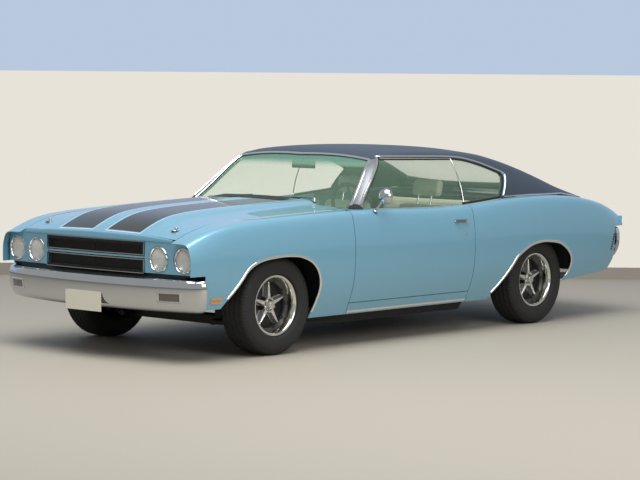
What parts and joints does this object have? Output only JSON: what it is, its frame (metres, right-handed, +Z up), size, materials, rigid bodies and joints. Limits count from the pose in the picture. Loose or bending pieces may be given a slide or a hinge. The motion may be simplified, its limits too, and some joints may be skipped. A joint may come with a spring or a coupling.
{
  "type": "two-door hardtop coupe car",
  "caption": "Hardtop coupe with a body on a frame, opening doors, hood and trunk lid, steered front wheels and a vinyl-covered roof.",
  "frame": {"origin": "middle of the whole car at ground level, below the centre of its bounding box", "axes": "+Z up, +Y towards the tail so that the nose points to -Y, +X towards the car's left side"},
  "size_m": [1.9654, 5.004, 1.3365],
  "materials": {
    "chassis_black": "satin black paint",
    "engine_paint": "engine enamel",
    "exhaust_steel": "aluminised steel",
    "tank_steel": "galvanised steel",
    "underbody_black": "black underbody paint",
    "body_paint": "light blue metallic enamel",
    "vinyl_roof": "grained vinyl",
    "grille_black": "black grille with bright edges",
    "lamp_glass": "clear lens",
    "chrome": "bright chrome",
    "red_lens": "red lens",
    "amber_lens": "amber lens",
    "tinted_glass": "green tinted glass",
    "cabin_black": "black padded trim",
    "seat_vinyl": "pale vinyl",
    "brake_iron": "cast iron",
    "tyre": "rubber",
    "rim_paint": "silver spokes and bright lip"
  },
  "bodies": {
    "body": {"frame": "chassis_black", "engine": "engine_paint", "driveline": "chassis_black", "rear_axle": "chassis_black", "control_arms": "chassis_black", "exhaust": "exhaust_steel", "fuel_tank": "tank_steel", "floor_pan": "underbody_black", "cowl": "underbody_black", "wheelhouses": "underbody_black", "radiator": "underbody_black", "fender_left": "body_paint", "fender_right": "body_paint", "quarter_left": "body_paint", "quarter_right": "body_paint", "rocker_left": "body_paint", "rocker_right": "body_paint", "roof": "vinyl_roof", "nose_panel": "body_paint", "grille": "grille_black", "headlamps": "lamp_glass", "front_bumper": "chrome", "rear_bumper": "chrome", "tail_lamps": "red_lens", "tail_panel": "body_paint", "marker_lamps": "amber_lens", "windshield": "tinted_glass", "back_glass": "tinted_glass", "quarter_glass": "tinted_glass", "dashboard": "cabin_black", "steering_column": "cabin_black", "front_seats": "seat_vinyl", "rear_seat": "seat_vinyl", "parcel_shelf": "cabin_black", "cabin_mirror": "chrome"},
    "steering_wheel": {"steering_wheel": "cabin_black"},
    "knuckle_left": {"knuckle_left": "brake_iron"},
    "knuckle_right": {"knuckle_right": "brake_iron"},
    "wheel_front_left": {"tyre_front_left": "tyre", "rim_front_left": "rim_paint"},
    "wheel_front_right": {"tyre_front_right": "tyre", "rim_front_right": "rim_paint"},
    "wheel_rear_left": {"tyre_rear_left": "tyre", "rim_rear_left": "rim_paint"},
    "wheel_rear_right": {"tyre_rear_right": "tyre", "rim_rear_right": "rim_paint"},
    "door_left": {"door_left": "body_paint", "door_glass_left": "tinted_glass", "door_mirror": "chrome"},
    "door_right": {"door_right": "body_paint", "door_glass_right": "tinted_glass"},
    "hood": {"hood": "body_paint"},
    "trunk_lid": {"trunk_lid": "body_paint"}
  },
  "joints": [
    {"name": "steering_wheel_turn", "type": "hinge", "parent": "body", "child": "steering_wheel", "pos_m": [0.37, -0.235, 0.892], "axis": [0, 0.9312, 0.3645], "range_deg": [-500, 500]},
    {"name": "steer_left", "type": "hinge", "parent": "body", "child": "knuckle_left", "pos_m": [0.69, -1.5625, 0.328], "axis": [0, 0, 1], "range_deg": [-33, 33]},
    {"name": "steer_right", "type": "hinge", "parent": "body", "child": "knuckle_right", "pos_m": [-0.69, -1.5625, 0.328], "axis": [0, 0, 1], "range_deg": [-33, 33]},
    {"name": "spin_front_left", "type": "hinge", "parent": "knuckle_left", "child": "wheel_front_left", "pos_m": [0.762, -1.5625, 0.328], "axis": [1, 0, 0], "continuous": true},
    {"name": "spin_front_right", "type": "hinge", "parent": "knuckle_right", "child": "wheel_front_right", "pos_m": [-0.762, -1.5625, 0.328], "axis": [1, 0, 0], "continuous": true},
    {"name": "spin_rear_left", "type": "hinge", "parent": "body", "child": "wheel_rear_left", "pos_m": [0.762, 1.2825, 0.328], "axis": [1, 0, 0], "continuous": true},
    {"name": "spin_rear_right", "type": "hinge", "parent": "body", "child": "wheel_rear_right", "pos_m": [-0.762, 1.2825, 0.328], "axis": [1, 0, 0], "continuous": true},
    {"name": "door_left_open", "type": "hinge", "parent": "body", "child": "door_left", "pos_m": [0.915, -0.8095, 0.6], "axis": [0, 0, -1], "range_deg": [0, 65]},
    {"name": "door_right_open", "type": "hinge", "parent": "body", "child": "door_right", "pos_m": [-0.915, -0.8095, 0.6], "axis": [0, 0, 1], "range_deg": [0, 65]},
    {"name": "hood_open", "type": "hinge", "parent": "body", "child": "hood", "pos_m": [0, -0.85, 0.9153], "axis": [-1, 0, 0], "range_deg": [0, 50]},
    {"name": "trunk_open", "type": "hinge", "parent": "body", "child": "trunk_lid", "pos_m": [0, 1.652, 0.94103], "axis": [1, 0, 0], "range_deg": [0, 60]}
  ],
  "couplings": [
    {"joint": "steer_left", "follows": "steering_wheel_turn", "ratio": 0.0625},
    {"joint": "steer_right", "follows": "steering_wheel_turn", "ratio": 0.0625}
  ]
}
